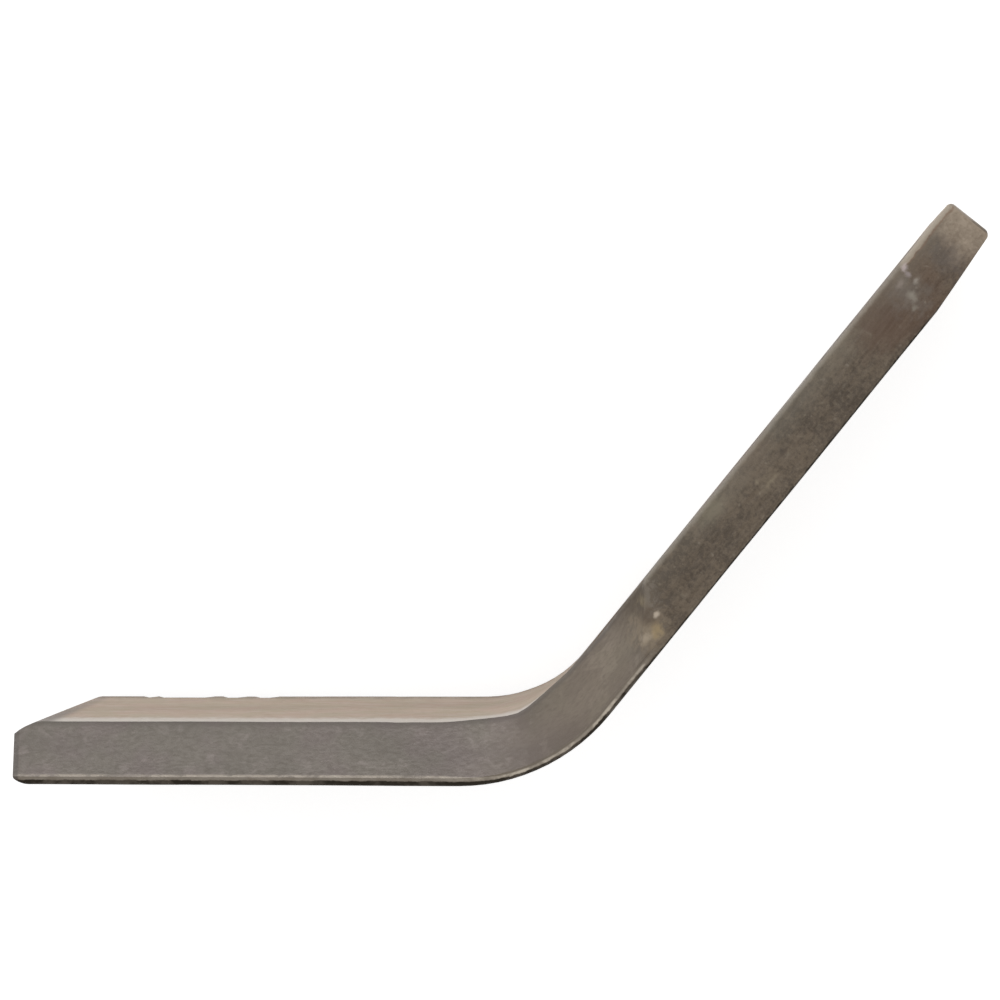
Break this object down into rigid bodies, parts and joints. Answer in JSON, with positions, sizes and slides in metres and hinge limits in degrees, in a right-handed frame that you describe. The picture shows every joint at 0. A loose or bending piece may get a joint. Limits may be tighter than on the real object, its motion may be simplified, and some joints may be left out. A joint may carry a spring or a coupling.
{
  "type": "mulcher blade",
  "caption": "Bent flat steel blade for a mulcher or flail rotor: a bolted mounting leg and a cutting leg with both long edges ground to a bevel.",
  "frame": {"origin": "middle of the bolt hole, half way through the bar", "axes": "+X along the mounting leg to its tip, +Y through the bolt hole towards the inner face of the bend, +Z across the bar's width; the blade lies on one long edge"},
  "size_m": [0.1438, 0.0639, 0.05],
  "materials": {
    "steel": "ground grey steel on the cutting edges, dark brown mill scale on the mounting leg"
  },
  "bodies": {
    "root": {"blade": "steel"}
  },
  "joints": []
}
